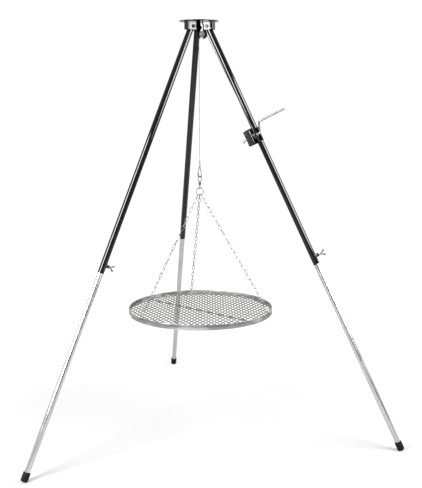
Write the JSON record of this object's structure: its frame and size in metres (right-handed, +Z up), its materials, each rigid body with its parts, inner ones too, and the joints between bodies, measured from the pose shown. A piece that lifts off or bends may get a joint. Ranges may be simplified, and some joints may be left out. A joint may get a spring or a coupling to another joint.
{
  "type": "campfire tripod grate",
  "caption": "Tripod campfire stand with telescopic legs, a crank winch and a wire rope over a pulley that holds a round mesh grate on chains.",
  "frame": {"origin": "middle of the footprint, on the ground under the feet", "axes": "+Z up; +Y towards the rear leg; the two front legs point to -Y at either side and the winch leg is the one at +X"},
  "size_m": [1.491, 1.295, 1.6823],
  "materials": {
    "black_lacquer": "gloss black lacquer on steel",
    "zinc_plated": "zinc plated, satin",
    "dark_fasteners": "blackened steel fasteners",
    "stainless": "brushed stainless steel",
    "wire_rope": "galvanised wire rope",
    "black_rubber": "matt rubber"
  },
  "bodies": {
    "head": {"head_plate": "black_lacquer", "leg_bracket_rear": "black_lacquer", "pivot_bolt_rear": "dark_fasteners", "pivot_nut_rear": "dark_fasteners", "leg_bracket_left": "black_lacquer", "pivot_bolt_left": "dark_fasteners", "pivot_nut_left": "dark_fasteners", "leg_bracket_right": "black_lacquer", "pivot_bolt_right": "dark_fasteners", "pivot_nut_right": "dark_fasteners", "pulley_bracket": "black_lacquer", "pulley_axle": "dark_fasteners", "pulley_nut": "dark_fasteners", "pulley_washer": "zinc_plated", "pulley_cable": "wire_rope"},
    "pulley": {"pulley_wheel": "zinc_plated"},
    "leg_rear": {"upper_leg_rear": "black_lacquer", "clamp_boss_rear": "black_lacquer"},
    "foot_rear": {"lower_leg_rear": "zinc_plated", "foot_cap_rear": "black_rubber"},
    "screw_rear": {"wing_screw_rear": "zinc_plated"},
    "leg_left": {"upper_leg_left": "black_lacquer", "clamp_boss_left": "black_lacquer"},
    "foot_left": {"lower_leg_left": "zinc_plated", "foot_cap_left": "black_rubber"},
    "screw_left": {"wing_screw_left": "zinc_plated"},
    "leg_right": {"upper_leg_right": "black_lacquer", "clamp_boss_right": "black_lacquer", "winch_bracket": "black_lacquer", "winch_clamp": "black_lacquer", "clamp_screw_upper": "dark_fasteners", "clamp_screw_lower": "dark_fasteners", "winch_housing": "black_lacquer", "winch_side_plate": "zinc_plated", "winch_cable": "wire_rope"},
    "foot_right": {"lower_leg_right": "zinc_plated", "foot_cap_right": "black_rubber"},
    "screw_right": {"wing_screw_right": "zinc_plated"},
    "crank": {"crank_rod": "zinc_plated", "crank_collar": "zinc_plated", "winch_spool": "black_lacquer", "spool_cable": "wire_rope"},
    "rope_drop": {"drop_cable": "wire_rope"},
    "rope_end": {"cable_ferrule": "zinc_plated", "cable_eye": "wire_rope", "snap_hook": "zinc_plated"},
    "gate": {"snap_gate": "zinc_plated"},
    "hanger": {"swivel_eye": "zinc_plated"},
    "grate": {"swivel_barrel": "zinc_plated", "master_ring": "zinc_plated", "chain_rear": "zinc_plated", "chain_left": "zinc_plated", "chain_right": "zinc_plated", "rim_hook_rear": "zinc_plated", "rim_hook_left": "zinc_plated", "rim_hook_right": "zinc_plated", "grate_rim": "stainless", "grate_mesh": "stainless", "grate_cross_bar": "stainless"}
  },
  "joints": [
    {"name": "leg_fold_rear", "type": "hinge", "parent": "head", "child": "leg_rear", "pos_m": [0, -0.17293, 1.66], "axis": [1, 0, 0], "range_deg": [-9, 0]},
    {"name": "leg_slide_rear", "type": "slide", "parent": "leg_rear", "child": "foot_rear", "axis": [0, -0.4384, 0.8988], "range_m": [0, 0.7]},
    {"name": "wing_turn_rear", "type": "hinge", "parent": "leg_rear", "child": "screw_rear", "pos_m": [0, 0.29219, 0.77481], "axis": [0, 0.8988, 0.4384], "range_deg": [0, 360]},
    {"name": "leg_fold_left", "type": "hinge", "parent": "head", "child": "leg_left", "pos_m": [-0.03291, -0.22993, 1.66], "axis": [-0.5, 0.866, 0], "range_deg": [-9, 0]},
    {"name": "leg_slide_left", "type": "slide", "parent": "leg_left", "child": "foot_left", "axis": [0.3796, 0.2192, 0.8988], "range_m": [0, 0.7]},
    {"name": "wing_turn_left", "type": "hinge", "parent": "leg_left", "child": "screw_left", "pos_m": [-0.38901, -0.43552, 0.7485], "axis": [0.7784, 0.4494, -0.4384], "range_deg": [0, 360]},
    {"name": "leg_fold_right", "type": "hinge", "parent": "head", "child": "leg_right", "pos_m": [0.03291, -0.22993, 1.66], "axis": [-0.5, -0.866, 0], "range_deg": [-9, 0], "deforming": ["winch_cable"]},
    {"name": "leg_slide_right", "type": "slide", "parent": "leg_right", "child": "foot_right", "axis": [-0.3796, 0.2192, 0.8988], "range_m": [0, 0.7]},
    {"name": "wing_turn_right", "type": "hinge", "parent": "leg_right", "child": "screw_right", "pos_m": [0.43571, -0.46248, 0.77481], "axis": [0.7784, -0.4494, 0.4384], "range_deg": [0, 360]},
    {"name": "pulley_spin", "type": "hinge", "parent": "head", "child": "pulley", "pos_m": [0.01299, -0.21843, 1.63], "axis": [0.5, 0.866, 0], "range_deg": [-1342, 1151]},
    {"name": "crank_turn", "type": "hinge", "parent": "leg_right", "child": "crank", "pos_m": [0.19472, -0.36261, 1.23667], "axis": [0.7784, -0.4494, 0.4384], "range_deg": [-1370, 1597]},
    {"name": "cable_swing", "type": "hinge", "parent": "head", "child": "rope_drop", "pos_m": [0, -0.21093, 1.63], "axis": [0.5, 0.866, 0], "range_deg": [-5, 5]},
    {"name": "hoist", "type": "slide", "parent": "rope_drop", "child": "rope_end", "axis": [0, 0, 1], "range_m": [-0.35, 0.3], "deforming": ["drop_cable"]},
    {"name": "gate_open", "type": "hinge", "parent": "rope_end", "child": "gate", "pos_m": [-0.00623, -0.20606, 1.0762], "axis": [0.6157, 0.788, 0], "range_deg": [0, 12], "stiffness_Nm_per_rad": 0.02, "springref_deg": -20.05},
    {"name": "grate_swing", "type": "hinge", "parent": "rope_end", "child": "hanger", "pos_m": [0, -0.21093, 1.066], "axis": [0.866, -0.5, 0], "range_deg": [-5, 5]},
    {"name": "grate_spin", "type": "hinge", "parent": "hanger", "child": "grate", "pos_m": [0, -0.21093, 1.034], "axis": [0, 0, 1], "continuous": true}
  ],
  "couplings": [
    {"joint": "crank_turn", "follows": "hoist", "rad_per_m": -79.365},
    {"joint": "pulley_spin", "follows": "hoist", "rad_per_m": 66.667}
  ]
}
